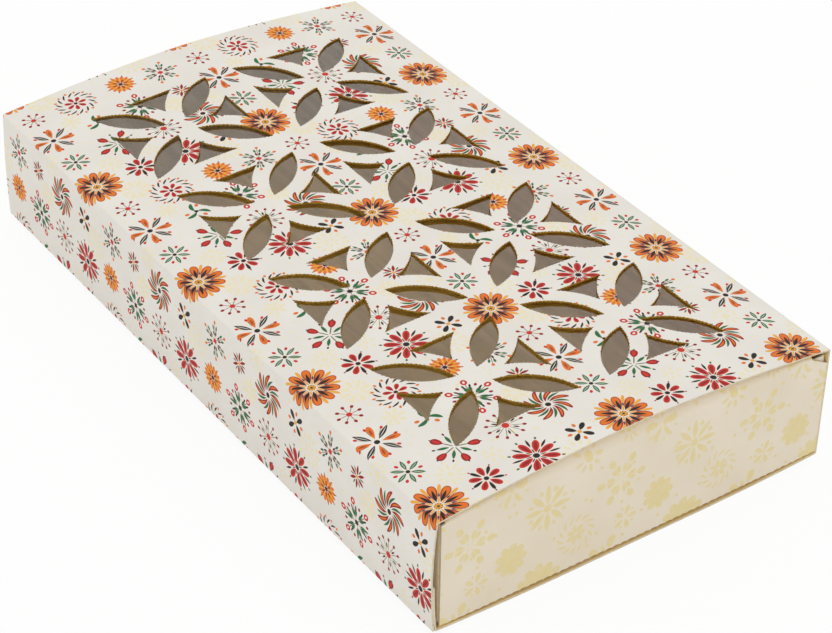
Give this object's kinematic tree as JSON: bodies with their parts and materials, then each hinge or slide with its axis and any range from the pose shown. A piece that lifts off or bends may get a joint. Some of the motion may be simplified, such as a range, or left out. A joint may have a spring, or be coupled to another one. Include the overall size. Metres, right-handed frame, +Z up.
{
  "type": "chocolate box",
  "caption": "Flat sliding gift box: a bowed printed board sleeve with petal-shaped film windows, and a shallow roll-end tray that slides out of either open end.",
  "frame": {"origin": "on the surface that the box stands on, under the middle of the box", "axes": "+Y along the box, the way the tray slides; +X across it, from the long wall with the glue seam to the plain one; +Z up"},
  "size_m": [0.126, 0.225, 0.0398],
  "materials": {
    "printed_board": "uncoated white board with a small folk-flower print",
    "cream_board": "uncoated cream board with a tone-on-tone flower print",
    "golden_board": "golden-yellow inside of the board",
    "clear_film": "clear glossy film",
    "dry_glue": "dried glue line"
  },
  "bodies": {
    "sleeve": {"sleeve_top_panel": "printed_board", "sleeve_left_wall": "printed_board", "sleeve_right_wall": "printed_board", "sleeve_bottom_panel": "printed_board", "sleeve_glue_flap": "printed_board", "sleeve_seam_glue": "dry_glue", "film_glue_border": "dry_glue", "window_film": "clear_film"},
    "tray": {"tray_base": "cream_board", "tray_left_wall": "cream_board", "tray_right_wall": "cream_board", "tray_front_wall": "cream_board", "tray_front_rolled_edge": "cream_board", "tray_front_inner_wall": "cream_board", "tray_back_wall": "cream_board", "tray_back_rolled_edge": "cream_board", "tray_back_inner_wall": "cream_board", "tray_front_left_corner_tab": "golden_board", "tray_front_right_corner_tab": "golden_board", "tray_back_left_corner_tab": "golden_board", "tray_back_right_corner_tab": "golden_board"}
  },
  "joints": [
    {"name": "tray_slide", "type": "slide", "parent": "sleeve", "child": "tray", "axis": [0, 1, 0], "range_m": [-0.225, 0.225]}
  ]
}
